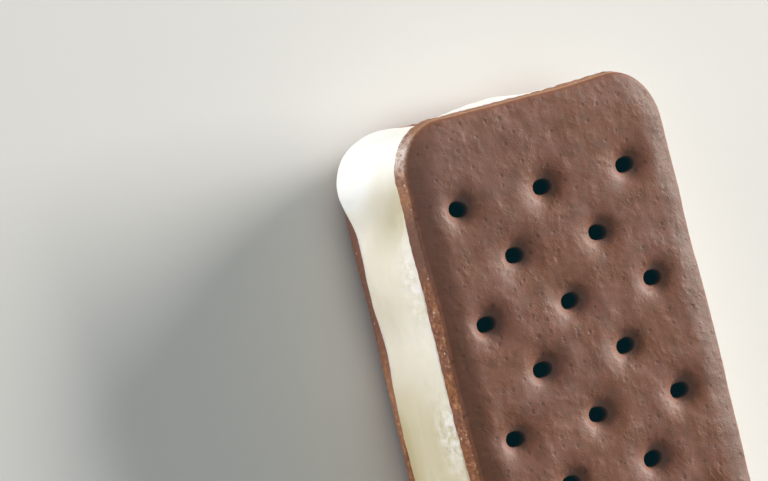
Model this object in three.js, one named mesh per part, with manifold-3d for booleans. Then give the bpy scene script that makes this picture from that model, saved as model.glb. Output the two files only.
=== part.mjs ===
// An ice cream sandwich: a slab of vanilla ice cream held between two soft chocolate wafers.
//
// Millimetres, +Z up. The sandwich lies on the outer face of its lower wafer, with the length
// along Y and the width along X, and the origin under the middle of its bounding box.
// Each wafer is a rounded rectangle whose outer face rolls down to a blunt rim. Rows of three
// and two docking holes, each at the bottom of a wide soft dimple, keep it from puffing up.
// The ice cream has softened a little: it swells past the wafers at one corner and one end.
import * as THREE from "three";
import { mergeVertices } from "three/addons/utils/BufferGeometryUtils.js";
import Module from "manifold-3d";

const wasm = await Module();
wasm.setup();

// Driving dimensions.
const LENGTH = 120;
const WIDTH = 48;
const WAFER_THICKNESS = 4.4;
const SLAB_THICKNESS = 15.8;
const SEAM = 0.3;

// The pattern of the docking pins: rows of three holes and of two, one set between the other.
const HOLE_ROWS = 11;
const HOLE_PITCH_X = 15.5;
const HOLE_PITCH_Y = 9.15;
const HOLE_RADIUS = 1.475;
const HOLE_DEPTH = 3.7;
const HOLE_SIDES = 12;

// The whole pattern sits a little aside and askew on the wafer.
const PIN_SHIFT = new THREE.Vector2(-0.12, -0.25);
const PIN_TURN = THREE.MathUtils.degToRad(0.4);

// How finely an outline is divided.
const CORNER_STEPS = 8;
const LONG_SIDE_STEPS = 18;
const SHORT_SIDE_STEPS = 8;

// A wafer's rim in section, from the face on the ice cream to the outer face: each entry is how
// far the section lies inside the outline, and how high above the inner face.
const RIM_SECTION = [
  [0.3, 0],
  [0, 0.5],
  [0, 2.3],
  [0.25, 2.95],
  [1.0, 3.6],
  [2.4, 4.08],
  [4.8, WAFER_THICKNESS],
];

// The outlines. The corner radii go anticlockwise from the corner at +X +Y, as seen with the
// docked face up. A swelling is a place where the outline stands out of the plain rounded
// rectangle, or lies inside it where out is negative: at is its place as shares of half the width
// and half the length, and reach is how far it spreads along the outline.
const UPPER_WAFER = {
  cornerRadii: [8.3, 8.2, 10, 11],
  swellings: [
    { at: [0.7, 1], reach: 6, out: 0.5 },
    { at: [0.3, 1], reach: 5, out: -0.1 },
    { at: [-1, 0.76], reach: 12, out: 0.3 },
    { at: [-1, 0.53], reach: 6, out: -0.25 },
    { at: [-1, 0], reach: 10, out: -0.3 },
    { at: [1, 0.87], reach: 7, out: -0.15 },
    { at: [1, 0.25], reach: 22, out: 0.6 },
    { at: [1, -0.3], reach: 16, out: 0.3 },
    { at: [-0.5, -1], reach: 9, out: 0.4 },
  ],
};
const LOWER_WAFER = {
  cornerRadii: [12, 10, 9.5, 10.5],
  swellings: [
    { at: [1, 0.9], reach: 7, out: -0.3 },
    { at: [0.6, 1], reach: 8, out: -0.2 },
    { at: [0, 1], reach: 16, out: -0.8 },
    { at: [0.1, -1], reach: 12, out: 0.5 },
    { at: [-1, 0.2], reach: 18, out: 0.3 },
  ],
};

// A docking pin's dimple in section: radius, and depth under the outer face.
const DIMPLE_SECTION = [
  [HOLE_RADIUS - 0.15, HOLE_DEPTH],
  [HOLE_RADIUS, 1.63],
  [2, 0.97],
  [3, 0.28],
  [5, 0],
];

// The slab is nearly flush with the wafers, and its sides belly out a little between them. In its
// swellings, level is the share of the slab's thickness at which a swelling is fullest, spread is
// how far it reaches up and down from there as such a share, and the rest of it that is left at
// the wafers is FACE_SHARE. A slanting swelling lies further along Y the higher it is: slant is
// how far over the slab's whole thickness.
const SLAB_SET_BACK = 0.15;
const SLAB_BELLY = 0.5;
const FACE_SHARE = 0.5;
const SLAB_LEVELS = [0, 0.04, 0.12, 0.24, 0.38, 0.52, 0.66, 0.8, 0.92, 1];
const SLAB = {
  cornerRadii: [10, 9.5, 10, 10],
  swellings: [
    { at: [-1, 0.895], reach: 7.2, level: 0.18, spread: 0.5, out: 3.55, slant: 9 },
    { at: [-1, 0.755], reach: 5, level: 0.72, spread: 0.34, out: -1.2, slant: 8 },
    { at: [-1, 0.765], reach: 3.5, level: 0, spread: 0.4, out: -1 },
    { at: [-1, 0.62], reach: 6, level: 0.1, spread: 0.5, out: 0.55 },
    { at: [-1, 0.46], reach: 5, level: 0.1, spread: 0.5, out: -0.75 },
    { at: [-1, 0.24], reach: 5, level: 0.1, spread: 0.5, out: 0.35 },
    { at: [-1, -0.05], reach: 18, level: 0.2, spread: 0.6, out: 0.8 },
    { at: [-0.5, 1], reach: 7.5, level: 0.4, spread: 0.8, out: -1.7 },
    { at: [0, 1], reach: 4.5, level: 0.5, spread: 0.6, out: 0.5 },
    { at: [0.4, 1], reach: 8, level: 0.5, spread: 0.6, out: -0.9 },
    { at: [1, -0.6], reach: 13, level: 0.6, spread: 0.5, out: 0.9 },
    { at: [1, 0.35], reach: 12, level: 0.2, spread: 0.35, out: -0.6 },
    { at: [0.4, -1], reach: 10, level: 0.65, spread: 0.5, out: 0.8 },
    { at: [-0.8, -1], reach: 8, level: 0.15, spread: 0.3, out: -0.7 },
  ],
};

const chocolateWafer = new THREE.MeshStandardMaterial({
  color: 0x8f6857,
  roughness: 0.72,
  metalness: 0,
});
const vanillaIceCream = new THREE.MeshStandardMaterial({
  color: 0xefe9da,
  roughness: 0.38,
  metalness: 0,
});

// How much of a swelling is left at a point on the outline, at a rise over the swelling's level.
function nearness(swelling, point, rise = 0) {
  const slant = swelling.slant ?? 0;
  const awayX = point.x - (swelling.at[0] * WIDTH) / 2;
  const awayY = point.y - (swelling.at[1] * LENGTH) / 2 - slant * rise;
  return Math.exp(-(awayX ** 2 + awayY ** 2) / swelling.reach ** 2);
}

// How far the outline wanders in and out at a point, as soft food does.
function wander(x, y) {
  return (
    0.1 * Math.sin(0.11 * y + 0.07 * x + 0.6) +
    0.06 * Math.sin(0.23 * y - 0.19 * x + 2.1)
  );
}

// The outline of a rounded rectangle, anticlockwise, as points with their outward directions.
function roundedOutline(cornerRadii) {
  const outline = [];
  cornerRadii.forEach((radius, corner) => {
    const signX = corner === 0 || corner === 3 ? 1 : -1;
    const signY = corner < 2 ? 1 : -1;
    const centreX = signX * (WIDTH / 2 - radius);
    const centreY = signY * (LENGTH / 2 - radius);
    for (let step = 0; step <= CORNER_STEPS; step++) {
      const angle = (Math.PI / 2) * (corner + step / CORNER_STEPS);
      const out = new THREE.Vector2(Math.cos(angle), Math.sin(angle));
      const point = new THREE.Vector2(centreX, centreY).addScaledVector(out, radius);
      outline.push({ point, out });
    }
  });
  return divideStraightSides(outline);
}

// Adds evenly spaced points along the four straight sides between the corner arcs.
function divideStraightSides(outline) {
  const divided = [];
  outline.forEach((here, i) => {
    const next = outline[(i + 1) % outline.length];
    divided.push(here);
    const endsAnArc = i % (CORNER_STEPS + 1) === CORNER_STEPS;
    if (!endsAnArc) return;
    const alongY = Math.abs(here.out.x) > Math.abs(here.out.y);
    const steps = alongY ? LONG_SIDE_STEPS : SHORT_SIDE_STEPS;
    for (let step = 1; step < steps; step++) {
      const point = here.point.clone().lerp(next.point, step / steps);
      divided.push({ point, out: here.out.clone() });
    }
  });
  return divided;
}

// One ring of the outline at a height, moved outwards by a distance worked out at each point.
function ring(outline, height, outwards) {
  return outline.map(({ point, out }) => {
    const moved = point.clone().addScaledVector(out, outwards(point));
    return new THREE.Vector3(moved.x, moved.y, height);
  });
}

// A closed geometry through rings that lie one above the other, with a flat cap at each end.
function loft(rings) {
  const count = rings[0].length;
  const positions = rings.flat().flatMap((p) => [p.x, p.y, p.z]);
  const faces = [];
  for (let level = 0; level + 1 < rings.length; level++) {
    for (let i = 0; i < count; i++) {
      const a = level * count + i;
      const b = level * count + ((i + 1) % count);
      faces.push(a, b, b + count, a, b + count, a + count);
    }
  }
  const top = rings.length - 1;
  for (const [level, turned] of [[0, true], [top, false]]) {
    const flat = rings[level].map((p) => new THREE.Vector2(p.x, p.y));
    for (const [a, b, c] of THREE.ShapeUtils.triangulateShape(flat, [])) {
      const face = turned ? [a, c, b] : [a, b, c];
      faces.push(...face.map((i) => level * count + i));
    }
  }
  const geometry = new THREE.BufferGeometry();
  geometry.setAttribute("position", new THREE.Float32BufferAttribute(positions, 3));
  geometry.setIndex(faces);
  return geometry;
}

// A three.js geometry as a manifold-3d solid, and back.
function toSolid(geometry) {
  const bare = geometry.clone();
  bare.deleteAttribute("normal");
  bare.deleteAttribute("uv");
  const merged = mergeVertices(bare, 1e-4);
  return new wasm.Manifold(
    new wasm.Mesh({
      numProp: 3,
      vertProperties: new Float32Array(merged.attributes.position.array),
      triVerts: new Uint32Array(merged.index.array),
    }),
  );
}

function toGeometry(solid) {
  const mesh = solid.getMesh();
  const geometry = new THREE.BufferGeometry();
  geometry.setAttribute("position", new THREE.BufferAttribute(mesh.vertProperties, 3));
  geometry.setIndex(new THREE.BufferAttribute(mesh.triVerts, 1));
  geometry.computeVertexNormals();
  return geometry;
}

// Where the docking pins go: every other row has one hole fewer and sits half a pitch across.
function holePlaces() {
  const places = [];
  for (let row = 0; row < HOLE_ROWS; row++) {
    const holes = row % 2 === 0 ? 3 : 2;
    const y = ((HOLE_ROWS - 1) / 2 - row) * HOLE_PITCH_Y;
    for (let i = 0; i < holes; i++) {
      const place = new THREE.Vector2((i - (holes - 1) / 2) * HOLE_PITCH_X, y);
      places.push(place.rotateAround(new THREE.Vector2(), PIN_TURN).add(PIN_SHIFT));
    }
  }
  return places;
}

// The shape that one docking pin leaves, standing on Z with the outer face at height 0.
function dockingPin() {
  const above = 1;
  const rimRadius = DIMPLE_SECTION.at(-1)[0];
  const profile = [new THREE.Vector2(0, -HOLE_DEPTH)];
  for (const [radius, depth] of DIMPLE_SECTION) {
    profile.push(new THREE.Vector2(radius, -depth));
  }
  profile.push(new THREE.Vector2(rimRadius, above), new THREE.Vector2(0, above));
  const pin = new THREE.LatheGeometry(profile, HOLE_SIDES);
  pin.rotateX(Math.PI / 2);
  return toSolid(pin);
}

// How far a wafer's side stands out of the plain outline at a point.
function waferSwell(swellings, point) {
  let out = wander(point.x, point.y);
  for (const swelling of swellings) {
    out += swelling.out * nearness(swelling, point);
  }
  return out;
}

// A wafer with its inner face at height 0 and its docked face up.
function waferGeometry({ cornerRadii, swellings }) {
  const outline = roundedOutline(cornerRadii);
  const rings = RIM_SECTION.map(([inset, height]) =>
    ring(outline, height, (point) => waferSwell(swellings, point) - inset),
  );
  const pin = dockingPin();
  let wafer = toSolid(loft(rings));
  for (const place of holePlaces()) {
    wafer = wafer.subtract(pin.translate([place.x, place.y, WAFER_THICKNESS]));
  }
  return toGeometry(wafer);
}

// How far the slab's side stands out at a point and a share of the slab's thickness.
function slabSwell(swellings, point, level) {
  const fullness = Math.sin(Math.PI * level) ** 0.6;
  let out = wander(point.x, point.y) - SLAB_SET_BACK + SLAB_BELLY * fullness;
  const share = FACE_SHARE + (1 - FACE_SHARE) * fullness;
  for (const swelling of swellings) {
    const rise = level - swelling.level;
    const through = Math.exp(-((rise / swelling.spread) ** 2));
    out += swelling.out * nearness(swelling, point, rise) * through * share;
  }
  return out;
}

// The slab with its lower face at height 0.
function slabGeometry({ cornerRadii, swellings }) {
  const outline = roundedOutline(cornerRadii);
  const rings = SLAB_LEVELS.map((level) =>
    ring(outline, level * SLAB_THICKNESS, (point) => slabSwell(swellings, point, level)),
  );
  return loft(rings);
}

function piece(name, geometry, material, height) {
  const mesh = new THREE.Mesh(geometry, material);
  mesh.name = name;
  mesh.position.z = height;
  return mesh;
}

function iceCreamSandwich() {
  const slabBase = WAFER_THICKNESS + SEAM;
  const upperBase = slabBase + SLAB_THICKNESS + SEAM;
  const lowerWafer = piece(
    "wafer_bottom",
    waferGeometry(LOWER_WAFER),
    chocolateWafer,
    WAFER_THICKNESS,
  );
  lowerWafer.rotation.y = Math.PI;
  const slab = piece("ice_cream", slabGeometry(SLAB), vanillaIceCream, slabBase);
  const upperWafer = piece(
    "wafer_top",
    waferGeometry(UPPER_WAFER),
    chocolateWafer,
    upperBase,
  );
  const sandwich = new THREE.Group();
  sandwich.name = "ice_cream_sandwich";
  sandwich.add(lowerWafer, slab, upperWafer);
  return sandwich;
}

// Moves the sandwich so that the middle of its footprint is over the origin.
function centred(group) {
  const middle = new THREE.Box3().setFromObject(group).getCenter(new THREE.Vector3());
  group.position.set(-middle.x, -middle.y, 0);
  return group;
}

export default centred(iceCreamSandwich());
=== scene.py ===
# %% [markdown]
# # An ice cream sandwich
# A slab of vanilla ice cream is pressed between two soft chocolate wafers and frozen again.
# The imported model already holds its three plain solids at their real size. This lesson dresses
# them: each solid is replaced by a finer surface with the same outline, and gets a finish.

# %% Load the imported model
import math

import bpy
import numpy as np
from mathutils import Matrix, Vector


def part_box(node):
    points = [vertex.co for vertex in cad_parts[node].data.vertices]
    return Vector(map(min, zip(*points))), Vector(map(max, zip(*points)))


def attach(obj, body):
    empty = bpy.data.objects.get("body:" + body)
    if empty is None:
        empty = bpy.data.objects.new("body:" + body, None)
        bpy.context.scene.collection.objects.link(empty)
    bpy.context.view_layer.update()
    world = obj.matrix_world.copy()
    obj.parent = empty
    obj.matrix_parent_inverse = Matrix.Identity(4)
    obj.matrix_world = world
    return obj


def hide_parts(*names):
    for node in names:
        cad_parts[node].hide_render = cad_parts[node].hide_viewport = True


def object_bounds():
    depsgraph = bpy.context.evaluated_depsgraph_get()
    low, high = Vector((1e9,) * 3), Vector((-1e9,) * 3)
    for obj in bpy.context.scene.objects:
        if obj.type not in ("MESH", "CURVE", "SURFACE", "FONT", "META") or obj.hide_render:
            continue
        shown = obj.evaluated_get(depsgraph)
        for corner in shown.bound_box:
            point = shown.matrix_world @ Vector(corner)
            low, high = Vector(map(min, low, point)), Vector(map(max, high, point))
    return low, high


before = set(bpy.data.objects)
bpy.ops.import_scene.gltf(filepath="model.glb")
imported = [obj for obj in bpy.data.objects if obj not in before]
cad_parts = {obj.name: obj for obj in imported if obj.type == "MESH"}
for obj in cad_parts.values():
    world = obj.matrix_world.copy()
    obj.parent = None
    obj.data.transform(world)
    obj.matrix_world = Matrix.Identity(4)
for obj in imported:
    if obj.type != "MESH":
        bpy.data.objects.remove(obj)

cad_low, cad_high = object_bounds()
cad_size = [round(1000 * s, 1) for s in cad_high - cad_low]
print("solids:", sorted(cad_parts), "size in mm:", cad_size)

# %% [markdown]
# ## Sizes
# A baker thinks in millimetres, so every size here is in millimetres and the meshes are scaled
# to metres at the end. The wafers and the slab share one length and width. Each has corner
# radii, anticlockwise from the corner at +X +Y, and a few swellings: places, as shares of half
# the width and half the length, where the soft edge stands out or lies in. A swelling of the
# slab also has a level, from 0 at the slab's base to 1 at its top, a spread over the levels,
# and sometimes a slant. They are the same as in the solids, because a finer surface still has
# to lie where its solid lies.

# %% Sizes of the sandwich
MM = 0.001
LENGTH = 120.0
WIDTH = 48.0
WAFER_THICKNESS = 4.4
TOP = cad_high.z / MM
SLAB_BASE = WAFER_THICKNESS
SLAB_TOP = TOP - WAFER_THICKNESS

UPPER_RADII = (8.3, 8.2, 10, 11)
UPPER_SWELLINGS = (
    {"at": (0.7, 1), "reach": 6, "out": 0.5},
    {"at": (0.3, 1), "reach": 5, "out": -0.1},
    {"at": (-1, 0.76), "reach": 12, "out": 0.3},
    {"at": (-1, 0.53), "reach": 6, "out": -0.25},
    {"at": (-1, 0), "reach": 10, "out": -0.3},
    {"at": (1, 0.87), "reach": 7, "out": -0.15},
    {"at": (1, 0.25), "reach": 22, "out": 0.6},
    {"at": (1, -0.3), "reach": 16, "out": 0.3},
    {"at": (-0.5, -1), "reach": 9, "out": 0.4},
)
LOWER_RADII = (12, 10, 9.5, 10.5)
LOWER_SWELLINGS = (
    {"at": (1, 0.9), "reach": 7, "out": -0.3},
    {"at": (0.6, 1), "reach": 8, "out": -0.2},
    {"at": (0, 1), "reach": 16, "out": -0.8},
    {"at": (0.1, -1), "reach": 12, "out": 0.5},
    {"at": (-1, 0.2), "reach": 18, "out": 0.3},
)
SLAB_RADII = (10, 9.5, 10, 10)
SLAB_SWELLINGS = (
    {"at": (-1, 0.895), "reach": 7.2, "level": 0.18, "spread": 0.5, "out": 3.55, "slant": 9},
    {"at": (-1, 0.755), "reach": 5, "level": 0.72, "spread": 0.34, "out": -1.2, "slant": 8},
    {"at": (-1, 0.765), "reach": 3.5, "level": 0, "spread": 0.4, "out": -1.0},
    {"at": (-1, 0.62), "reach": 6, "level": 0.1, "spread": 0.5, "out": 0.55},
    {"at": (-1, 0.46), "reach": 5, "level": 0.1, "spread": 0.5, "out": -0.75},
    {"at": (-1, 0.24), "reach": 5, "level": 0.1, "spread": 0.5, "out": 0.35},
    {"at": (-1, -0.05), "reach": 18, "level": 0.2, "spread": 0.6, "out": 0.8},
    {"at": (-0.5, 1), "reach": 7.5, "level": 0.4, "spread": 0.8, "out": -1.7},
    {"at": (0, 1), "reach": 4.5, "level": 0.5, "spread": 0.6, "out": 0.5},
    {"at": (0.4, 1), "reach": 8, "level": 0.5, "spread": 0.6, "out": -0.9},
    {"at": (1, -0.6), "reach": 13, "level": 0.6, "spread": 0.5, "out": 0.9},
    {"at": (1, 0.35), "reach": 12, "level": 0.2, "spread": 0.35, "out": -0.6},
    {"at": (0.4, -1), "reach": 10, "level": 0.65, "spread": 0.5, "out": 0.8},
    {"at": (-0.8, -1), "reach": 8, "level": 0.15, "spread": 0.3, "out": -0.7},
)
print("wafer", LENGTH, "x", WIDTH, "mm, slab from", SLAB_BASE, "to", round(SLAB_TOP, 2), "mm")

# %% [markdown]
# ## The outline
# A wafer is stamped as a rounded rectangle, then handled while it is soft. So its outline is
# best kept as two parts: a plain shape that a formula gives exactly, and a small distance by
# which each place stands out of it. Both are worked out for whole arrays of points at once.


# %% The plain rounded rectangle
def corner_radius(x, y, radii):
    """The radius of the corner in whose quarter of the plan each point lies."""
    far = np.where(x >= 0, radii[0], radii[1])
    near = np.where(x < 0, radii[2], radii[3])
    return np.where(y >= 0, far, near)


def edge_distance(x, y, radii):
    """How far each point lies inside the outline, and the direction straight out of it there.
    Measured from the corner's centre, a point in a corner is as far inside as the radius less
    its distance. Anywhere else it is as far inside as the nearer straight side."""
    radius = corner_radius(x, y, radii)
    past_x = np.abs(x) - (WIDTH / 2 - radius)
    past_y = np.abs(y) - (LENGTH / 2 - radius)
    in_corner = (past_x > 0) & (past_y > 0)
    from_centre = np.hypot(np.maximum(past_x, 0), np.maximum(past_y, 0))
    inside = radius - from_centre - np.minimum(np.maximum(past_x, past_y), 0)
    out_x = np.where(in_corner, past_x, past_x >= past_y)
    out_y = np.where(in_corner, past_y, past_x < past_y)
    size = np.hypot(out_x, out_y)
    return inside, np.sign(x) * out_x / size, np.sign(y) * out_y / size


# %% The swellings
def wander(x, y):
    """Two slow waves, one along each slant, by which every soft edge wanders in and out."""
    return 0.1 * np.sin(0.11 * y + 0.07 * x + 0.6) + 0.06 * np.sin(0.23 * y - 0.19 * x + 2.1)


def nearness(swelling, x, y, rise=0.0):
    """A bell over the plan: 1 at the swelling's place, and 1/e at its reach. A slanting
    swelling lies further along Y the more it has risen."""
    away_x = x - swelling["at"][0] * WIDTH / 2
    away_y = y - swelling["at"][1] * LENGTH / 2 - swelling.get("slant", 0) * rise
    return np.exp(-(away_x**2 + away_y**2) / swelling["reach"] ** 2)


# %% [markdown]
# ## Unevenness
# Nothing baked or frozen is even. A sum of waves that run in random directions, all of about
# one wavelength, makes soft lumps of that size. It is smooth everywhere and needs no grid, and
# a seed makes it the same on every run.


# %% Soft lumps
def lumps(x, y, z, size, seed, waves=24):
    """The sum of sine waves in random directions, scaled to about 1 high. Their lengths lie
    between 0.7 and 1.6 times the size, so that no regular pattern shows."""
    draw = np.random.default_rng(seed)
    total = np.zeros_like(x)
    for _ in range(waves):
        direction = draw.normal(size=3)
        direction /= np.linalg.norm(direction)
        turn = 2 * math.pi / (size * draw.uniform(0.7, 1.6))
        along = direction[0] * x + direction[1] * y + direction[2] * z
        total += np.sin(turn * along + draw.uniform(0, 2 * math.pi))
    return total / math.sqrt(waves / 2)


def smooth_step(low, high, value):
    """0 below low, 1 above high, and an S-shaped rise between them."""
    share = np.clip((value - low) / (high - low), 0, 1)
    return share * share * (3 - 2 * share)


# %% [markdown]
# ## The wafer's face as a grid
# The face could be a mesh of triangles between scattered points, but a grid of rows and
# columns is easier to read and to shade. Rows run across the wafer. In a corner they follow
# equal angles of its arc, so they crowd towards the end, and each row is as long as the
# rounded outline is wide there. That way the grid's border is the outline itself.

# %% Rows and columns
FACE_STEP = 0.31
FACE_INSET = 0.95


def side_reach(y, far_radius, near_radius, inset):
    """How far from the middle line a side lies at each y: the half width, less what the
    corner's arc takes off."""
    radius = np.where(y >= 0, far_radius, near_radius) - inset
    into_corner = np.maximum(np.abs(y) - (LENGTH / 2 - inset - radius), 0)
    return WIDTH / 2 - inset - radius + np.sqrt(np.maximum(radius**2 - into_corner**2, 0))


def face_grid(radii, inset, step):
    """The plan of the face, inset from the outline, as two arrays of rows by columns."""
    arc = max(radii) - inset
    straight = LENGTH / 2 - max(radii)
    angle = np.linspace(0, math.pi / 2, round(arc * math.pi / 2 / step) + 1)
    end = straight + arc * np.sin(angle)
    middle = np.linspace(-straight, straight, round(2 * straight / step) + 1)[1:-1]
    y = np.concatenate([-end[::-1], middle, end])
    left = -side_reach(y, radii[1], radii[2], inset)
    right = side_reach(y, radii[0], radii[3], inset)
    across = np.linspace(0, 1, round((WIDTH - 2 * inset) / step) + 1)
    x = left[:, None] + (right - left)[:, None] * across
    return x, np.repeat(y[:, None], len(across), axis=1)


def border(rows, columns):
    """The indices of a grid's border, anticlockwise from its first corner."""
    index = np.arange(rows * columns).reshape(rows, columns)
    return np.concatenate([index[0, :-1], index[:-1, -1], index[-1, :0:-1], index[:0:-1, 0]])


# %% [markdown]
# ## Docking holes
# Blunt pins pierce the dough before it bakes, in rows of three and two, so that steam gets
# out. Each leaves a steep round hole in a soft dimple, which has a steep narrow lip inside a
# shallow wide bowl. A plain grid would give the hole a ragged edge, so the grid is drawn in:
# the rings of points that lay between two distances from the pin's middle are all moved close
# to the hole's radius, and only then pressed down. The wall then stands on a smooth oval.

# %% Where the pins go
HOLE_ROWS = 11
HOLE_PITCH_X = 15.5
HOLE_PITCH_Y = 9.15
PIN_SHIFT = (-0.12, -0.25)
PIN_TURN = math.radians(0.4)


def pin_places():
    """The middle of every pin, row by row, each other row half a pitch across. The whole
    pattern sits a little aside and askew on the wafer."""
    places = []
    for row in range(HOLE_ROWS):
        holes = 3 - row % 2
        y = ((HOLE_ROWS - 1) / 2 - row) * HOLE_PITCH_Y
        places += [((i - (holes - 1) / 2) * HOLE_PITCH_X, y) for i in range(holes)]
    places = np.array(places)
    cosine, sine = math.cos(PIN_TURN), math.sin(PIN_TURN)
    askew = np.array([[cosine, sine], [-sine, cosine]])
    return places @ askew + PIN_SHIFT


PINS = pin_places()
print("docking holes in a wafer:", len(PINS))

# %% Sizes of a hole and its dimple
HOLE_DEPTH = 3.7
MOUTH_RADIUS = 1.475
LIP_RADIUS = 3.1
LIP_DEPTH = 0.47
BOWL_RADIUS = 5.7
BOWL_DEPTH = 0.93
DENT_POWER = 2.0

# By how much the lip's depth, the bowl's depth, the bowl's radius and the end of the painted
# dark differ on the side to which the pins leaned.
PIN_LEAN = math.radians(15)
LIP_DEPTH_LEAN = 0.25
BOWL_DEPTH_LEAN = 0.1
BOWL_RADIUS_LEAN = 0.3
DARK_LEAN = 0.3

# Chance, from hole to hole: how oval it is, how its axis and its lean turn, and how hard the
# pin was pushed.
OVAL_RANGE = (0.11, 0.16)
TURN_SPREAD = 0.25
PUSH_RANGE = (0.88, 1.12)

# Where the painted dark of a hole starts and ends, the distance that is drawn in to the mouth,
# and the distance past which the grid isn't drawn in.
DARK_START, DARK_END = 1.15, 2.7
MOUTH_DRAWN = 2.25
DRAWN_REACH = 4.9

# How far a grid point lay from the pin, how far out it ends, and how much of the way from
# the mouth to the floor it goes down.
HOLE_SECTION = np.array(
    [
        (0.0, 0.0, 1.0),
        (0.8, 1.0, 1.0),
        (1.15, 1.2, 0.87),
        (1.55, 1.26, 0.5),
        (1.9, 1.34, 0.12),
        (MOUTH_DRAWN, MOUTH_RADIUS, 0.0),
        (2.6, MOUTH_RADIUS + 0.12, 0.0),
        (DRAWN_REACH, DRAWN_REACH, 0.0),
    ]
)


# %% Pressing the pins in
def dent(away, radius, depth):
    """A round dent about the mouth: its depth falls as a power of what is left of its radius."""
    return depth * np.clip((radius - away) / (radius - MOUTH_RADIUS), 0, 1) ** DENT_POWER


def press_pins(x, y, seed):
    """Moves plan points in towards the holes' walls. Gives their new places, how deep each is
    pressed, how dark it is painted, from 0 outside the mouth to 1 down the hole, and the cosine
    of its angle from the side to which the pins leaned: 1 on that side, and -1 on the other. On
    that side the dent is shallower and narrower, and the painted dark reaches further out."""
    draw = np.random.default_rng(seed)
    squash = draw.uniform(*OVAL_RANGE, len(PINS))
    turn = draw.normal(0, TURN_SPREAD, len(PINS))
    push = draw.uniform(*PUSH_RANGE, len(PINS))
    lean = PIN_LEAN + draw.normal(0, TURN_SPREAD, len(PINS))
    nearest = np.hypot(x[..., None] - PINS[:, 0], y[..., None] - PINS[:, 1]).argmin(axis=-1)
    from_x, from_y = x - PINS[nearest, 0], y - PINS[nearest, 1]
    distance = np.hypot(from_x, from_y)
    angle = np.arctan2(from_y, from_x)
    toward = np.cos(angle - lean[nearest])
    oval = squash[nearest] * np.cos(2 * (angle - turn[nearest]))
    reach, radius, share_down = HOLE_SECTION.T
    ends = np.interp(distance, reach, radius)
    ends = ends * (1 + oval * smooth_step(DRAWN_REACH, MOUTH_DRAWN, distance))
    ends = np.where(distance < DRAWN_REACH, ends, distance)
    lip = dent(ends, LIP_RADIUS, LIP_DEPTH * (1 - LIP_DEPTH_LEAN * toward))
    bowl_depth = BOWL_DEPTH * (1 - BOWL_DEPTH_LEAN * toward)
    bowl = dent(ends, BOWL_RADIUS - BOWL_RADIUS_LEAN * toward, bowl_depth)
    pressed = (lip + bowl) * push[nearest]
    pressed += (HOLE_DEPTH - pressed) * np.interp(distance, reach, share_down)
    dark = 1 - smooth_step(DARK_START, DARK_END + DARK_LEAN * toward, distance)
    share = np.divide(ends, distance, out=np.ones_like(ends), where=distance > 1e-6)
    moved_x, moved_y = PINS[nearest, 0] + from_x * share, PINS[nearest, 1] + from_y * share
    return moved_x, moved_y, pressed, dark, toward


# %% [markdown]
# ## The rim
# The face slopes down over a broad soft shoulder, turns sharply to a blunt upright side, and
# ends in a crumbly lower edge. The grid carries the shoulder. A profile swept round the border
# carries the turn and the side, because points spaced evenly in plan would leave long slivers
# on an upright wall.

# %% Shoulder and side
SHOULDER_WIDTH = 5.0
SIDE_DROP = 1.25
END_DROP = 0.6
SHOULDER_TILT = 0.08
SHOULDER_POWER = 1.6
SIDE_INSET = 0.32
SIDE_LEAN = 0.55
SIDE_FOOT = 0.55
BEND_STEPS = 10
SIDE_STEPS = 9

# The lower edge, ring by ring: how far inside the outline, how high, and its normal's turn.
LOWER_EDGE = [(0.06, 0.3, math.pi / 2), (0.2, 0.12, math.pi / 2), (0.5, 0, 2.2), (1.6, 0, math.pi)]


def shoulder_drop(inside, out_x=1.0):
    """How far the face has sloped down at a distance inside the outline: a power of what is
    left of the shoulder's width. It drops least at the ends, and most where the edge faces -X."""
    left = np.clip(1 - inside / SHOULDER_WIDTH, 0, 1)
    drop = END_DROP + (SIDE_DROP - END_DROP) * np.abs(out_x) - SHOULDER_TILT * out_x
    return drop * left**SHOULDER_POWER


def rim_profile():
    """From the face's border to the lower edge: how far inside the outline each ring lies,
    its height over the inner face, and its normal's turn from up, through outward, to down.
    An arc turns from the shoulder's slope to the side, which leans in towards its top."""
    share = 1 - FACE_INSET / SHOULDER_WIDTH
    slope = math.atan(SHOULDER_POWER * SIDE_DROP / SHOULDER_WIDTH * share ** (SHOULDER_POWER - 1))
    upright = math.pi / 2 - math.atan(SIDE_LEAN / WAFER_THICKNESS)
    turn = np.linspace(slope, upright, BEND_STEPS)[1:]
    radius = (FACE_INSET - SIDE_INSET) / (math.sin(upright) - math.sin(slope))
    top = WAFER_THICKNESS - shoulder_drop(FACE_INSET)
    bend_inset = FACE_INSET - radius * (np.sin(turn) - math.sin(slope))
    bend_height = top - radius * (math.cos(slope) - np.cos(turn))
    fall = np.linspace(0, 1, SIDE_STEPS)[1:]
    side_inset = SIDE_INSET * (1 - fall)
    side_height = bend_height[-1] + (SIDE_FOOT - bend_height[-1]) * fall
    bend = np.stack([bend_inset, bend_height, turn], axis=1)
    side = np.stack([side_inset, side_height, upright + 0 * fall], axis=1)
    return np.concatenate([bend, side, LOWER_EDGE])


print("rings in the rim:", len(rim_profile()))


# %% [markdown]
# ## Making a mesh from arrays
# Both kinds of piece end as arrays of points and faces, so one function turns them into an
# object. It also stores numbers on the points, such as how dark a hole is painted there, for
# the finish to read.


# %% Arrays to object
def grid_faces(rows, columns):
    """Four-sided faces between neighbouring rows and columns, anticlockwise from above."""
    index = np.arange(rows * columns).reshape(rows, columns)
    corners = index[:-1, :-1], index[:-1, 1:], index[1:, 1:], index[1:, :-1]
    return np.stack(corners, axis=-1).reshape(-1, 4)


def ring_faces(rings):
    """Four-sided faces between rings of point indices that go down, one row for each ring."""
    after = np.roll(rings, -1, axis=1)
    corners = rings[:-1], rings[1:], after[1:], after[:-1]
    return np.stack(corners, axis=-1).reshape(-1, 4)


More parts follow.
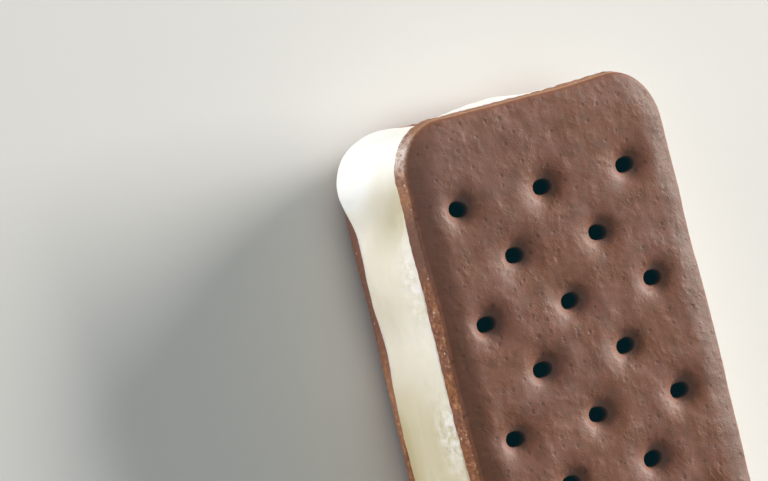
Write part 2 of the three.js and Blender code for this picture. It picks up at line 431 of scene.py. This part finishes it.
def make_piece(name, points, faces, caps, marks):
    """An object from points in millimetres, four-sided faces, and caps of many corners."""
    mesh = bpy.data.meshes.new(name)
    mesh.from_pydata((points * MM).tolist(), [], faces.tolist() + [cap.tolist() for cap in caps])
    for mark, values in marks.items():
        mesh.attributes.new(mark, "FLOAT", "POINT").data.foreach_set("value", values.ravel())
    mesh.shade_smooth()
    mesh.validate()
    piece = bpy.data.objects.new(name, mesh)
    bpy.context.scene.collection.objects.link(piece)
    triangles = 2 * len(faces) + sum(len(cap) - 2 for cap in caps)
    print(name, "has", triangles, "triangles")
    return piece


# %% [markdown]
# ## A wafer
# The face is worked out first: the shoulder, the docking holes, and low lumps that a grazing
# light picks out. Then the rim goes round it, rougher towards its crumbly lower edge. Marks
# say where the finish changes: toasted ends, whose rim is partly a painted highlight, frost on
# the rim, painted shade on the shoulder and partly along the hem, a painted sheen at one
# corner, a duller crust that is a painted shadow on the lower wafer, and a painted reflection
# and a painted highlight on the two sides of a dimple.


# %% Sizes and places on a wafer
SWELL_FADE = 4.0
CALM_DEPTH = 0.9
SMALL_PITS = {"count": 90, "sizes": (0.26, 0.42), "depths": (0.02, 0.07)}
LARGE_PITS = {"count": 26, "sizes": (0.5, 1.0), "depths": (0.04, 0.1)}
ROLLING = math.radians(-61)
DRAWN_OUT = 1.25
CRUMB_HEIGHT = 0.03
WAVE_HEIGHT = 0.04
RAGGED_HEIGHT = 0.11
RIME_STRENGTH = 1.15
UPPER_RIME = ({"at": (-1.05, 0.955), "reach": 3.1}, {"at": (1, -0.6), "reach": 6})
LOWER_RIME = ({"at": (0.75, 0.98), "reach": 6}, {"at": (-1, -0.3), "reach": 7})
# Paler golden patches on the crust, partly a painted highlight.
UPPER_GOLDEN_PATCH = {"at": (-1, 0.825), "reach": 3.4}
LOWER_GOLDEN_PATCH = {"at": (1, 0.3), "reach": 6}
# Painted sheen: a paler, greyer face about the -X +Y corner.
CORNER_SHEEN_PLACE = {"at": (-0.85, 0.85), "reach": 12}
# Darker, duller crust: on the lower wafer's -X side it is a painted shadow.
UPPER_DULL = {"at": (-1, 0.694), "reach": 5}
LOWER_PAINTED_SHADOW = {"at": (1, 0.7), "reach": 17}


# %% The relief of the face
def wafer_swell(swellings, x, y):
    """How far the outline stands out of the plain rounded rectangle."""
    return wander(x, y) + sum(s["out"] * nearness(s, x, y) for s in swellings)


def face_lumps(x, y, seed):
    """Low lumps of three sizes. The smaller are drawn out along a slant, as rolled dough is."""
    along = math.cos(ROLLING) * x + math.sin(ROLLING) * y
    across = -math.sin(ROLLING) * x + math.cos(ROLLING) * y
    broad = 0.07 * lumps(x, y, 0 * x, 14, seed)
    soft = 0.028 * lumps(along / DRAWN_OUT, across, 0 * x, 3.2, seed + 1)
    fine = 0.007 * lumps(along / DRAWN_OUT, across, 0 * x, 1.2, seed + 2, waves=40)
    return broad + soft + fine


def face_pits(x, y, seed, count, sizes, depths):
    """Burst bubbles: each a bell-shaped pit at a random place, of a random size and depth."""
    draw = np.random.default_rng(seed)
    total = np.zeros_like(x)
    for _ in range(count):
        middle_x = draw.uniform(-WIDTH / 2, WIDTH / 2)
        middle_y = draw.uniform(-LENGTH / 2, LENGTH / 2)
        away = np.square(x - middle_x) + np.square(y - middle_y)
        total += draw.uniform(*depths) * np.exp(-away / draw.uniform(*sizes) ** 2)
    return total


# %% The whole surface
def wafer(name, radii, swellings, rimes, golden_patch, dull_and_shadow, seed):
    """A wafer with its inner face at height 0 and its docked face up."""
    # The face: its outline swells, the pins are pressed in, and then it gets its relief.
    base_x, base_y = face_grid(radii, FACE_INSET, FACE_STEP)
    rows, columns = base_x.shape
    inside, out_x, out_y = edge_distance(base_x, base_y, radii)
    swell = wafer_swell(swellings, base_x, base_y)
    fade = np.exp(-(((inside - FACE_INSET) / SWELL_FADE) ** 2))
    base_x, base_y = base_x + out_x * swell * fade, base_y + out_y * swell * fade
    x, y, depth, dark, toward = press_pins(base_x, base_y, seed)
    calm = 1 - smooth_step(0, CALM_DEPTH, depth)
    pits = face_pits(x, y, seed + 3, **SMALL_PITS) + face_pits(x, y, seed + 4, **LARGE_PITS)
    relief = (face_lumps(x, y, seed) - pits) * calm
    relief -= relief.max()
    z = WAFER_THICKNESS - shoulder_drop(inside, out_x) - depth + relief
    face = np.stack([x, y, z], axis=-1).reshape(-1, 3)

    # The rim: the profile goes round the face's border, and crumbs and waves move it outward.
    edge = border(rows, columns)
    edge_out = np.stack([out_x, out_y], axis=-1).reshape(-1, 2)[edge]
    inset, height, tilt = (rim_profile()[:, i, None] for i in range(3))
    plan = face[edge][None, :, :2] + edge_out[None] * (FACE_INSET - inset)[..., None]
    rim_x, rim_y = plan[..., 0], plan[..., 1]
    level = height + 0 * rim_x
    low = smooth_step(2.9, 0.6, level)
    crumbs = CRUMB_HEIGHT * lumps(rim_x, rim_y, 1.6 * level, 1.4, seed + 5, waves=40)
    waves = WAVE_HEIGHT * lumps(rim_x, rim_y, level, 6, seed + 6)
    out = (crumbs * (0.25 + 0.75 * low) + waves * low) * np.sin(tilt)
    ragged = RAGGED_HEIGHT * lumps(rim_x, rim_y, 0 * level, 2.3, seed + 7, waves=30)
    ragged = ragged * smooth_step(-0.6, 1.2, lumps(rim_x, rim_y, 0 * level, 14, seed + 8))
    tilted = shoulder_drop(FACE_INSET) - shoulder_drop(FACE_INSET, edge_out[:, 0])
    from_face = (relief.ravel()[edge] + tilted) * smooth_step(1.9, 3.4, level)
    up = from_face + ragged * smooth_step(1.6, 0.3, level) * (tilt < 1.8)
    moved_x, moved_y = rim_x + edge_out[:, 0] * out, rim_y + edge_out[:, 1] * out
    rim = np.stack([moved_x, moved_y, level + up], axis=-1)

    points = np.concatenate([face, rim.reshape(-1, 3)])
    loops = len(face) + np.arange(level.size).reshape(level.shape)
    rings = np.concatenate([edge[None], loops])
    faces = np.concatenate([grid_faces(rows, columns), ring_faces(rings)])

    # The marks, each with a part for the face and a part for the rim.
    around = smooth_step(0, 0.55, tilt - 0.8 - 0.15 * edge_out[:, 0])
    # Painted shade: the shoulder mark darkens the sloping shoulder along the long sides.
    shoulder = smooth_step(5.2, 2.8, inside) * np.abs(out_x)
    # Toast at the ends: an oranger band on the face, and on the rim a paler golden crust that is
    # partly a painted highlight.
    toast_and_highlight = smooth_step(1.6, 0.5, inside) * np.abs(out_y)
    crust_toast_and_highlight = toast_and_highlight.ravel()[edge] * (0.35 + 0.65 * smooth_step(1.5, 3, level))
    crust_toast_and_highlight += 0.3 * nearness(golden_patch, rim_x, rim_y)
    rime = RIME_STRENGTH * sum(nearness(place, rim_x, rim_y) for place in rimes)
    rime = rime * (0.5 + 0.5 * smooth_step(3.5, 2.3, level)) * smooth_step(0.45, 1.0, tilt)
    # A dimple gets a painted grey reflection on its shaded side, to which the pins leaned, and a
    # painted highlight on its lit side.
    dimple = smooth_step(0.4, 1.2, depth)

    def mark(on_face=0.0, on_rim=0.0):
        """A number for every point, 0 on a part for which none is given."""
        return np.concatenate([(on_face + 0 * z).ravel(), (on_rim + 0 * level).ravel()])

    marks = {
        "side": mark(on_rim=around),
        "shoulder": mark(on_face=shoulder),
        "toast_and_highlight": mark(toast_and_highlight, crust_toast_and_highlight),
        "rime": mark(on_rim=rime),
        # Painted sheen at one corner of the face.
        "corner_sheen": mark(on_face=nearness(CORNER_SHEEN_PLACE, x, y)),
        # Darker, duller crust, which on the lower wafer is a painted shadow.
        "dull_and_shadow": mark(on_rim=nearness(dull_and_shadow, rim_x, rim_y)),
        # Partly painted shade: a darker, redder lower edge where the wafer meets the ice cream.
        "hem": mark(on_rim=smooth_step(0.75, 0.2, level)),
        # Painted reflection on a dimple's shaded side, and painted highlight on its lit side.
        "lee_reflection": mark(on_face=dimple * (0.5 + 0.5 * toward)),
        "gleam": mark(on_face=dimple * (0.5 - 0.5 * toward)),
        # Painted shade: how dark a hole is painted.
        "hole": mark(on_face=dark),
    }
    return make_piece(name, points, faces, [rings[-1, ::-1]], marks)


upper_wafer = wafer(
    "upper_wafer", UPPER_RADII, UPPER_SWELLINGS, UPPER_RIME, UPPER_GOLDEN_PATCH, UPPER_DULL, seed=11
)
lower_wafer = wafer(
    "lower_wafer", LOWER_RADII, LOWER_SWELLINGS, LOWER_RIME, LOWER_GOLDEN_PATCH, LOWER_PAINTED_SHADOW, seed=42
)


# %% [markdown]
# ## The slab of ice cream
# The slab fills the sandwich from wafer to wafer, so only its side shows. Its outline is swept
# up through levels, and at each level it stands out a little differently: it bellies between
# the wafers, swells past them at one corner where it softened, and draws in beside that.

# %% The slab's surface
SLAB_SET_BACK = 0.15
SLAB_BELLY = 0.5
FACE_SHARE = 0.5
SLAB_STEP = 0.42
SLAB_LEVELS = 56
BITE = 0.08
CREAMY_AND_SHADOW_LIMIT = 0.8
# Painted shade: the hollow under the swelling is painted darker and creamier.
HOLLOW = {"at": (-1, 0.8), "reach": 5, "level": 0.9, "spread": 0.55, "slant": 9}
# Creamier, darker patches; the first, on the -X side, is a painted shadow.
CREAMY_AND_SHADOW_PLACES = (
    {"at": (-1, 0.1), "reach": 15, "share": 1},
    {"at": (-1, 0.56), "reach": 6, "share": 0.3},
    {"at": (0.8, -0.75), "reach": 20, "share": 0.45},
)
# Places at the top end painted whiter, as a painted highlight.
PAINTED_HIGHLIGHT_PLACES = ({"at": (-1, 1), "reach": 7}, {"at": (0, 1), "reach": 9})
RIND = (
    {"at": (-1, 0.6), "reach": 8},
    {"at": (-1, 0.2), "reach": 6},
    {"at": (-1, -0.5), "reach": 10},
    {"at": (1, 0.5), "reach": 13},
    {"at": (0.3, -1), "reach": 9},
    {"at": (1, -0.5), "reach": 9},
)


def slab_swell(x, y, level):
    """How far the side stands out: a belly between the wafers, and the swellings, each a bell
    over the plan times a bell over the level."""
    fullness = np.maximum(np.sin(math.pi * level), 0) ** 0.6
    out = wander(x, y) - SLAB_SET_BACK + SLAB_BELLY * fullness
    share = FACE_SHARE + (1 - FACE_SHARE) * fullness
    for swelling in SLAB_SWELLINGS:
        rise = level - swelling["level"]
        through = np.exp(-((rise / swelling["spread"]) ** 2))
        out = out + swelling["out"] * nearness(swelling, x, y, rise) * through * share
    return out


def slab(name, seed):
    """The slab from wafer to wafer, reaching a hair into both so that no gap shows."""
    grid_x, grid_y = face_grid(SLAB_RADII, 0, SLAB_STEP)
    edge = border(*grid_x.shape)
    x, y = grid_x.ravel()[edge], grid_y.ravel()[edge]
    _, out_x, out_y = edge_distance(x, y, SLAB_RADII)
    level = np.linspace(1, 0, SLAB_LEVELS)[:, None] + 0 * x
    z = (SLAB_BASE - BITE) + (SLAB_TOP - SLAB_BASE + 2 * BITE) * level
    relief = 0.05 * lumps(x + 0 * z, y + 0 * z, z, 11, seed)
    relief += 0.035 * lumps(x + 0 * z, y + 0 * z, 1.4 * z, 4, seed + 1)
    rind = np.clip(sum(nearness(place, x, y) for place in RIND), 0, 1)
    rind = smooth_step(0.62, 0.85, level) * rind
    relief += 0.055 * rind * lumps(x + 0 * z, y + 0 * z, z, 1.7, seed + 2, waves=40)
    out = slab_swell(x, y, level) + relief
    points = np.stack([x + out_x * out, y + out_y * out, z], axis=-1)
    rings = np.arange(level.size).reshape(level.shape)
    caps = [rings[0], rings[-1, ::-1]]
    # Painted highlight: the swollen crest and the top end are painted whiter.
    swollen = smooth_step(0.5, 2.1, slab_swell(x, y, level))
    crest_highlight = np.minimum(swollen + sum(nearness(place, x, y) for place in PAINTED_HIGHLIGHT_PLACES), 1)
    # Painted shade in the hollow under the swelling.
    rise = level - HOLLOW["level"]
    hollow_shade = nearness(HOLLOW, x, y, rise) * np.exp(-((rise / HOLLOW["spread"]) ** 2))
    # Creamier patches, the largest a painted shadow, stronger towards the lower wafer.
    creamy_and_shadow = sum(place["share"] * nearness(place, x, y) for place in CREAMY_AND_SHADOW_PLACES)
    creamy_and_shadow = np.minimum(creamy_and_shadow, CREAMY_AND_SHADOW_LIMIT)
    creamy_and_shadow = creamy_and_shadow * (0.87 + 0.3 * smooth_step(0.8, 0.2, level))
    marks = {"crest_highlight": crest_highlight, "hollow_shade": hollow_shade, "creamy_and_shadow": creamy_and_shadow, "rind": rind}
    return make_piece(name, points.reshape(-1, 3), ring_faces(rings), caps, marks)


ice_cream_slab = slab("ice_cream_slab", seed=7)

# %% [markdown]
# ## Putting the layers in place
# The meshes were worked out about the middle of the plain outline. The boxes of the upper
# wafer's solid and mesh say how far to move it, and the pieces all move so. The lower wafer
# turns over.


# %% Place and attach
def box_middle(low, high):
    """The middle of a box in plan."""
    return Vector(((low.x + high.x) / 2, (low.y + high.y) / 2, 0))


def mesh_box(piece):
    """The lowest and highest corner of a piece's mesh."""
    points = np.empty(3 * len(piece.data.vertices), np.float32)
    piece.data.vertices.foreach_get("co", points)
    points = points.reshape(-1, 3)
    return Vector(points.min(axis=0)), Vector(points.max(axis=0))


def settle(piece, height, shift, turned=False):
    """Moves a piece's mesh to its height and place, turned over first if it lies face down."""
    over = Matrix.Rotation(math.pi, 4, "Y") if turned else Matrix.Identity(4)
    piece.data.transform(Matrix.Translation(shift + Vector((0, 0, height * MM))) @ over)


shift = box_middle(*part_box("wafer_top")) - box_middle(*mesh_box(upper_wafer))
settle(upper_wafer, SLAB_TOP, shift)
settle(ice_cream_slab, 0, shift)
settle(lower_wafer, WAFER_THICKNESS, shift, turned=True)
for piece, node, slot in (
    (upper_wafer, "wafer_top", "wafer"),
    (ice_cream_slab, "ice_cream", "ice_cream"),
    (lower_wafer, "wafer_bottom", "wafer"),
):
    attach(piece, "root")
    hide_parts(node)
print("middle of the plain outline, in mm:", [round(s / MM, 2) for s in shift])

# %% [markdown]
# ## Writing finishes as arithmetic
# A finish is a graph of nodes, and graphs made by hand are hard to read. Here a socket is
# wrapped in a small class, so that sums and products of patterns are written as Python
# expressions and each becomes a Math node. Every other node comes from one method.


# %% Sockets that can be added and multiplied
class Pattern:
    """An output socket of a finish. Arithmetic on it adds Math nodes."""

    def __init__(self, finish, socket):
        self.finish = finish
        self.socket = socket

    def _math(self, operation, first, second):
        settings = {"operation": operation}
        return self.finish.node("ShaderNodeMath", settings, {0: first, 1: second})["Value"]

    def __add__(self, other):
        return self._math("ADD", self, other)

    def __sub__(self, other):
        return self._math("SUBTRACT", self, other)

    def __rsub__(self, other):
        return self._math("SUBTRACT", other, self)

    def __mul__(self, other):
        return self._math("MULTIPLY", self, other)

    __radd__ = __add__
    __rmul__ = __mul__

    def between(self, low, high):
        """0 where the pattern is at low, 1 at high, and an S-shaped rise between them."""
        settings = {"interpolation_type": "SMOOTHSTEP"}
        values = {"Value": self, "From Min": low, "From Max": high}
        return self.finish.node("ShaderNodeMapRange", settings, values)["Result"]


# %% A finish and its nodes
class Finish:
    """A material whose nodes are made by calls, with one Principled shader."""

    def __init__(self, name, **uniform):
        self.material = bpy.data.materials.new(name)
        self.material.use_nodes = True
        self.tree = self.material.node_tree
        self.shader = self.tree.nodes["Principled BSDF"]
        for socket, value in uniform.items():
            self.shader.inputs[socket.replace("_", " ")].default_value = value

    def node(self, kind, settings, values):
        """Makes a node: its settings first, then a value or a link for each named socket."""
        node = self.tree.nodes.new(kind)
        for setting, value in settings.items():
            setattr(node, setting, value)
        for socket, value in values.items():
            self.feed(node.inputs[socket], value)
        return {s.name: Pattern(self, s) for s in node.outputs if s.enabled}

    def feed(self, socket, value):
        """Sets a socket, or links a pattern to it."""
        if isinstance(value, Pattern):
            self.tree.links.new(value.socket, socket)
        else:
            socket.default_value = value

    def noise(self, place, size, detail=2.0, roughness=0.5):
        """Cloudy noise about 0.5, with clouds of about that size in millimetres."""
        values = {"Vector": place, "Scale": 1 / size, "Detail": detail, "Roughness": roughness}
        return self.node("ShaderNodeTexNoise", {}, values)["Fac"]

    def noise_colour(self, place, size):
        """Three cloudy noises in one, to shift a place by."""
        return self.node("ShaderNodeTexNoise", {}, {"Vector": place, "Scale": 1 / size})["Color"]

    def shifted(self, place, noise, reach):
        """The place moved at random by up to about half the reach, in millimetres."""
        settings = {"operation": "MULTIPLY_ADD"}
        values = {0: noise, 1: (reach, reach, reach), 2: place}
        return self.node("ShaderNodeVectorMath", settings, values)["Vector"]

    def mark(self, name):
        """A number stored on the mesh's points."""
        return self.node("ShaderNodeAttribute", {"attribute_name": name}, {})["Fac"]

    def blend(self, share, first, second):
        """A colour between two colours."""
        settings = {"data_type": "RGBA"}
        return self.node("ShaderNodeMix", settings, {0: share, 6: first, 7: second})["Result"]

    def painted(self, colour, *paints):
        """A colour with others laid over it in turn, each given after its share."""
        for share, paint in paints:
            colour = self.blend(share, colour, paint)
        return colour

    def millimetres(self, turn=0.0, stretch=1.0):
        """The place on the object in millimetres, turned about Z and drawn out along X."""
        place = self.node("ShaderNodeTexCoord", {}, {})["Object"]
        values = {"Vector": place, "Rotation": (0, 0, -turn)}
        turned = self.node("ShaderNodeMapping", {}, values)["Vector"]
        values = {"Vector": turned, "Scale": (1 / MM / stretch, 1 / MM, 1 / MM)}
        return self.node("ShaderNodeMapping", {}, values)["Vector"]

    def bump(self, height, distance):
        """Bends the shading as a relief that many millimetres high would."""
        values = {"Height": height, "Distance": distance * MM}
        self.feed(self.shader.inputs["Normal"], self.node("ShaderNodeBump", {}, values)["Normal"])


# %% [markdown]
# ## Chocolate wafer
# The wafer is baked and then softens against the ice cream. Its face is a greyed reddish
# brown, mottled, with fine pores. The side is lighter and more orange, with crumbs that glint.
# Some of the light and dark here is painted: the darker shoulder, the pale sheen at one
# corner, the paler golden rim at the ends in part, the duller crust on the lower wafer's side,
# the hem in part, and the grey reflection and the highlight on the two sides of a dimple. The
# holes are painted too, near black, with a faint blue-green emission. None of this follows the
# lights.


# %% Colours and pinholes
def rgb(red, green, blue):
    """A colour with full alpha."""
    return (red, green, blue, 1.0)


def pinholes(finish, place, spacing, radius, share, dimensions="2D"):
    """1 in small round holes that lie in a share of the cells of a random mosaic, else 0. In
    two dimensions the mosaic lies in plan, and in three it fills space."""
    values = {"Vector": place, "Scale": 1 / spacing}
    settings = {"voronoi_dimensions": dimensions, "feature": "F1"}
    cells = finish.node("ShaderNodeTexVoronoi", settings, values)
    chance = finish.node("ShaderNodeSeparateColor", {}, {"Color": cells["Color"]})["Red"]
    reach = radius / spacing
    inside = 1 - cells["Distance"].between(0.5 * reach, reach)
    return inside * chance.between(1 - share, 1.05 - share)


# %% Colours of the wafer
ROSY, TAWNY = rgb(0.195, 0.076, 0.0485), rgb(0.187, 0.069, 0.034)
PALE_GRAIN, DARK_GRAIN = rgb(0.28, 0.135, 0.105), rgb(0.12, 0.05, 0.034)
PALE_BLOTCH, DARK_BLOTCH = rgb(0.24, 0.1, 0.075), rgb(0.125, 0.06, 0.036)
# Painted shade for the sloping shoulder.
SHOULDER_SHADE = rgb(0.096, 0.041, 0.024)
# Painted sheen for one corner of the face.
CORNER_SHEEN = rgb(0.19, 0.1, 0.082)
# The toasted crust colour is partly a painted highlight.
TOASTED_FACE, TOASTED_CRUST_AND_HIGHLIGHT = rgb(0.2, 0.066, 0.025), rgb(0.56, 0.3, 0.17)
SPECK, PORE = rgb(0.08, 0.034, 0.022), rgb(0.075, 0.03, 0.022)
# A painted grey reflection for a dimple's shaded side and a painted highlight for its lit side.
LEE_REFLECTION, GLEAM = rgb(0.22, 0.155, 0.135), rgb(0.31, 0.155, 0.115)
CRUST, RUDDY_CRUST = rgb(0.235, 0.083, 0.029), rgb(0.2, 0.076, 0.043)
PALE_CRUMB, DARK_CRUMB = rgb(0.45, 0.24, 0.13), rgb(0.09, 0.032, 0.016)
# Darker, duller crust, and a painted shadow on the lower wafer.
DULL_CRUST_AND_SHADOW = rgb(0.135, 0.063, 0.045)
# A darker, redder hem, partly painted shade where the wafer meets the ice cream.
HEM = rgb(0.22, 0.07, 0.045)
RIME = rgb(0.85, 0.79, 0.765)
GLINT = rgb(0.7, 0.56, 0.46)
# Painted shade for the holes, and a painted glow that no lamp gives.
HOLE_SHADE, HOLE_GLOW = rgb(0.002, 0.006, 0.007), rgb(0.0005, 0.009, 0.0115)
BLACK = rgb(0, 0, 0)


# %% Wafer finish
def wafer_finish():
    """A mottled face, a crumbly orange-brown side, and near-black holes."""
    finish = Finish("chocolate_wafer", Specular_IOR_Level=0.38, Emission_Strength=1.0)
    place = finish.millimetres()
    slanted = finish.millimetres(turn=ROLLING, stretch=1.2)
    bent = finish.shifted(place, finish.noise_colour(place, 0.6), 0.5)
    mottle = finish.noise(place, 7.0, detail=3.0)
    patch = finish.noise(place, 3.5, detail=2.0)
    grain = finish.noise(slanted, 0.9, detail=3.0)
    dust = finish.noise(place, 0.3, detail=2.0)
    crumb = finish.noise(place, 0.8, detail=4.0, roughness=0.7)
    pores = pinholes(finish, bent, 1.3, 0.16, 0.12)
    specks = pinholes(finish, bent, 2.2, 0.42, 0.4)
    blotch = finish.noise(place, 2.4, detail=2.0)
    side = finish.mark("side")
    hole = finish.mark("hole")
    toast_and_highlight = finish.mark("toast_and_highlight")
    glints = pinholes(finish, place, 1.4, 0.22, 0.5, "3D") * side

    face = finish.painted(
        finish.blend(mottle.between(0.35, 0.65), ROSY, TAWNY),
        (grain.between(0.5, 0.8) * 0.4, PALE_GRAIN),
        (grain.between(0.5, 0.2) * 0.35, DARK_GRAIN),
        (blotch.between(0.5, 0.68) * 0.45, DARK_BLOTCH),
        (blotch.between(0.45, 0.3) * 0.35, PALE_BLOTCH),
        # Painted shade on the shoulder.
        (finish.mark("shoulder") * 0.5, SHOULDER_SHADE),
        # Painted sheen at one corner.
        (finish.mark("corner_sheen") * 0.4, CORNER_SHEEN),
        (toast_and_highlight * patch.between(0.2, 0.6) * 0.5, TOASTED_FACE),
        (specks * 0.45, SPECK),
        # Painted reflection on the shaded side of each dimple, and painted highlight on its lit
        # side.
        (finish.mark("lee_reflection") * 0.65, LEE_REFLECTION),
        (finish.mark("gleam") * 0.5, GLEAM),
    )
    crust = finish.painted(
        finish.blend(patch.between(0.35, 0.65), CRUST, RUDDY_CRUST),
        (crumb.between(0.52, 0.64) * 0.7, PALE_CRUMB),
        (crumb.between(0.48, 0.36) * 0.7, DARK_CRUMB),
        # Darker, duller crust, which on the lower wafer is a painted shadow.
        (finish.mark("dull_and_shadow").between(0, 0.75) * 0.85, DULL_CRUST_AND_SHADOW),
        # The hem, partly painted shade.
        (finish.mark("hem") * 0.7, HEM),
        # Toasted ends and golden patches of crust, partly a painted highlight.
        (toast_and_highlight * 0.8, TOASTED_CRUST_AND_HIGHLIGHT),
    )
    colour = finish.painted(
        finish.blend(side, face, crust),
        (finish.mark("rime") * crumb.between(0.32, 0.58) * 1.25, RIME),
        (pores * (1 - 0.6 * side) * 0.7, PORE),
        (glints * 0.7, GLINT),
        # Painted shade: the holes near black.
        (hole.between(0.1, 0.95), HOLE_SHADE),
    )
    finish.feed(finish.shader.inputs["Base Color"], colour)
    # Painted glow: a faint blue-green emission down the holes.
    glow = finish.blend(hole.between(0.3, 0.9), BLACK, HOLE_GLOW)
    finish.feed(finish.shader.inputs["Emission Color"], glow)
    rough = 0.42 + 0.2 * dust + 0.15 * side + 0.4 * hole - 0.3 * glints
    finish.feed(finish.shader.inputs["Roughness"], rough)
    relief = grain * (0.2 + patch.between(0.4, 0.7)) + 0.3 * dust + 2.2 * crumb * side
    finish.bump(relief - 0.3 * pores - 0.25 * specks, 0.11)
    return finish.material


chocolate_wafer = wafer_finish()
for piece in (upper_wafer, lower_wafer):
    piece.data.materials.append(chocolate_wafer)
print("finish:", chocolate_wafer.name)

# %% [markdown]
# ## Ice cream
# Light sinks into ice cream and comes out close by, which softens its shading, so the shader
# scatters under the surface. The skin is smooth and moist. Its crests are painted whiter, a
# painted highlight, and its hollows darker and creamier, a painted shade. A few patches are
# creamier, and the largest is a painted shadow. A frosty rind shows just under the upper wafer.


# %% Ice cream finish
VANILLA, PALE_VANILLA = rgb(0.84, 0.795, 0.71), rgb(0.86, 0.825, 0.75)
# Cream for the creamier patches and the painted shadow.
CREAM_AND_SHADOW = rgb(0.465, 0.385, 0.195)
# Painted shade for the hollow.
HOLLOW_SHADE_COLOUR = rgb(0.5, 0.435, 0.26)
RIND_COLOUR = rgb(0.85, 0.81, 0.76)
# Painted highlight for the crests.
CREST_HIGHLIGHT = rgb(0.955, 0.945, 0.915)


def ice_cream_finish():
    """Pale vanilla that scatters light under a smooth moist skin."""
    finish = Finish(
        "vanilla_ice_cream",
        Subsurface_Weight=0.5,
        Subsurface_Radius=(1.0, 0.9, 0.6),
        Subsurface_Scale=0.0025,
        Specular_IOR_Level=0.45,
    )
    place = finish.millimetres()
    cloud = finish.noise(place, 8.0)
    skin = finish.noise(place, 1.6, detail=3.0)
    ice = finish.noise(place, 0.35, detail=2.0)
    rind = finish.mark("rind")
    colour = finish.painted(
        finish.blend(cloud.between(0.3, 0.7), VANILLA, PALE_VANILLA),
        # Creamier patches and a painted shadow.
        (finish.mark("creamy_and_shadow") * 0.95, CREAM_AND_SHADOW),
        # Painted shade in the hollow.
        (finish.mark("hollow_shade") * 0.9, HOLLOW_SHADE_COLOUR),
        (rind * skin.between(0.35, 0.65), RIND_COLOUR),
        # Painted highlight: the crests whiter.
        (finish.mark("crest_highlight"), CREST_HIGHLIGHT),
    )
    finish.feed(finish.shader.inputs["Base Color"], colour)
    finish.feed(finish.shader.inputs["Roughness"], 0.34 + 0.2 * skin - 0.2 * rind)
    finish.bump((0.5 + 1.5 * rind) * skin + (0.2 + rind) * ice, 0.1)
    return finish.material


vanilla_ice_cream = ice_cream_finish()
ice_cream_slab.data.materials.append(vanilla_ice_cream)
print("finish:", vanilla_ice_cream.name)


# %% [markdown]
# ## Floor, light and camera
# The sandwich lies on a plain pale floor. A low key light on the +X side grazes the face, so
# that every dimple shows a bright and a dark side. A broad soft light low on the -X side fills
# the side of the ice cream that the key can't reach.

# %% Floor
FLOOR_SIZE = 3.0


def plain_floor():
    """A square floor at height 0, with its middle at the origin."""
    half = FLOOR_SIZE / 2
    mesh = bpy.data.meshes.new("floor")
    corners = [(-half, -half, 0), (half, -half, 0), (half, half, 0), (-half, half, 0)]
    mesh.from_pydata(corners, [], [(0, 1, 2, 3)])
    floor = bpy.data.objects.new("floor", mesh)
    bpy.context.scene.collection.objects.link(floor)
    finish = Finish("pale_floor", Base_Color=rgb(0.76, 0.75, 0.735), Roughness=0.7)
    mesh.materials.append(finish.material)
    return floor


plain_floor()

# %% Lights
SUBJECT = Vector((0, 0.02, 0.02))


def soft_light(name, towards, distance, width, height, power, colour):
    """A rectangular area light that many metres off, in that direction, facing the subject."""
    data = bpy.data.lights.new(name, "AREA")
    data.shape = "RECTANGLE"
    data.size, data.size_y = width, height
    data.energy = power
    data.color = colour
    light = bpy.data.objects.new(name, data)
    direction = Vector(towards).normalized()
    light.location = SUBJECT + direction * distance
    light.rotation_mode = "QUATERNION"
    light.rotation_quaternion = direction.to_track_quat("Z", "Y")
    bpy.context.scene.collection.objects.link(light)
    return light


soft_light("key", (0.974, 0.225, 0.38), 2.0, 1.4, 0.45, 70, (1.0, 0.957, 0.9))
soft_light("fill", (-0.9, 0.38, 0.03), 2.0, 1.0, 0.3, 40, (1.0, 0.992, 0.978))

world = bpy.data.worlds.new("studio")
world.use_nodes = True
world.node_tree.nodes["Background"].inputs["Color"].default_value = rgb(0.92, 1.0, 1.0)
world.node_tree.nodes["Background"].inputs["Strength"].default_value = 0.33
bpy.context.scene.world = world
bpy.context.scene.view_settings.view_transform = "Standard"

# %% Camera
AIM = shift + Vector((-0.030652, 0.043751, 0.0252))
AZIMUTH = math.radians(175.58)
ELEVATION = math.radians(61.59)
ROLL = math.radians(80.22)
DISTANCE = 0.7631
SENSOR = 36.0
LENS = 234.375


def camera():
    """Looks at AIM from a compass direction and an elevation, rolled about its own axis."""
    data = bpy.data.cameras.new("camera")
    data.sensor_width = SENSOR
    data.lens = LENS
    data.clip_start, data.clip_end = 0.01, 10
    level = math.cos(ELEVATION)
    back = Vector((math.cos(AZIMUTH) * level, math.sin(AZIMUTH) * level, math.sin(ELEVATION)))
    seen = bpy.data.objects.new("camera", data)
    seen.location = AIM + back * DISTANCE
    seen.rotation_mode = "QUATERNION"
    upright = back.to_track_quat("Z", "Y")
    seen.rotation_quaternion = upright @ Matrix.Rotation(ROLL, 3, "Z").to_quaternion()
    bpy.context.scene.collection.objects.link(seen)
    return seen


bpy.context.scene.camera = camera()
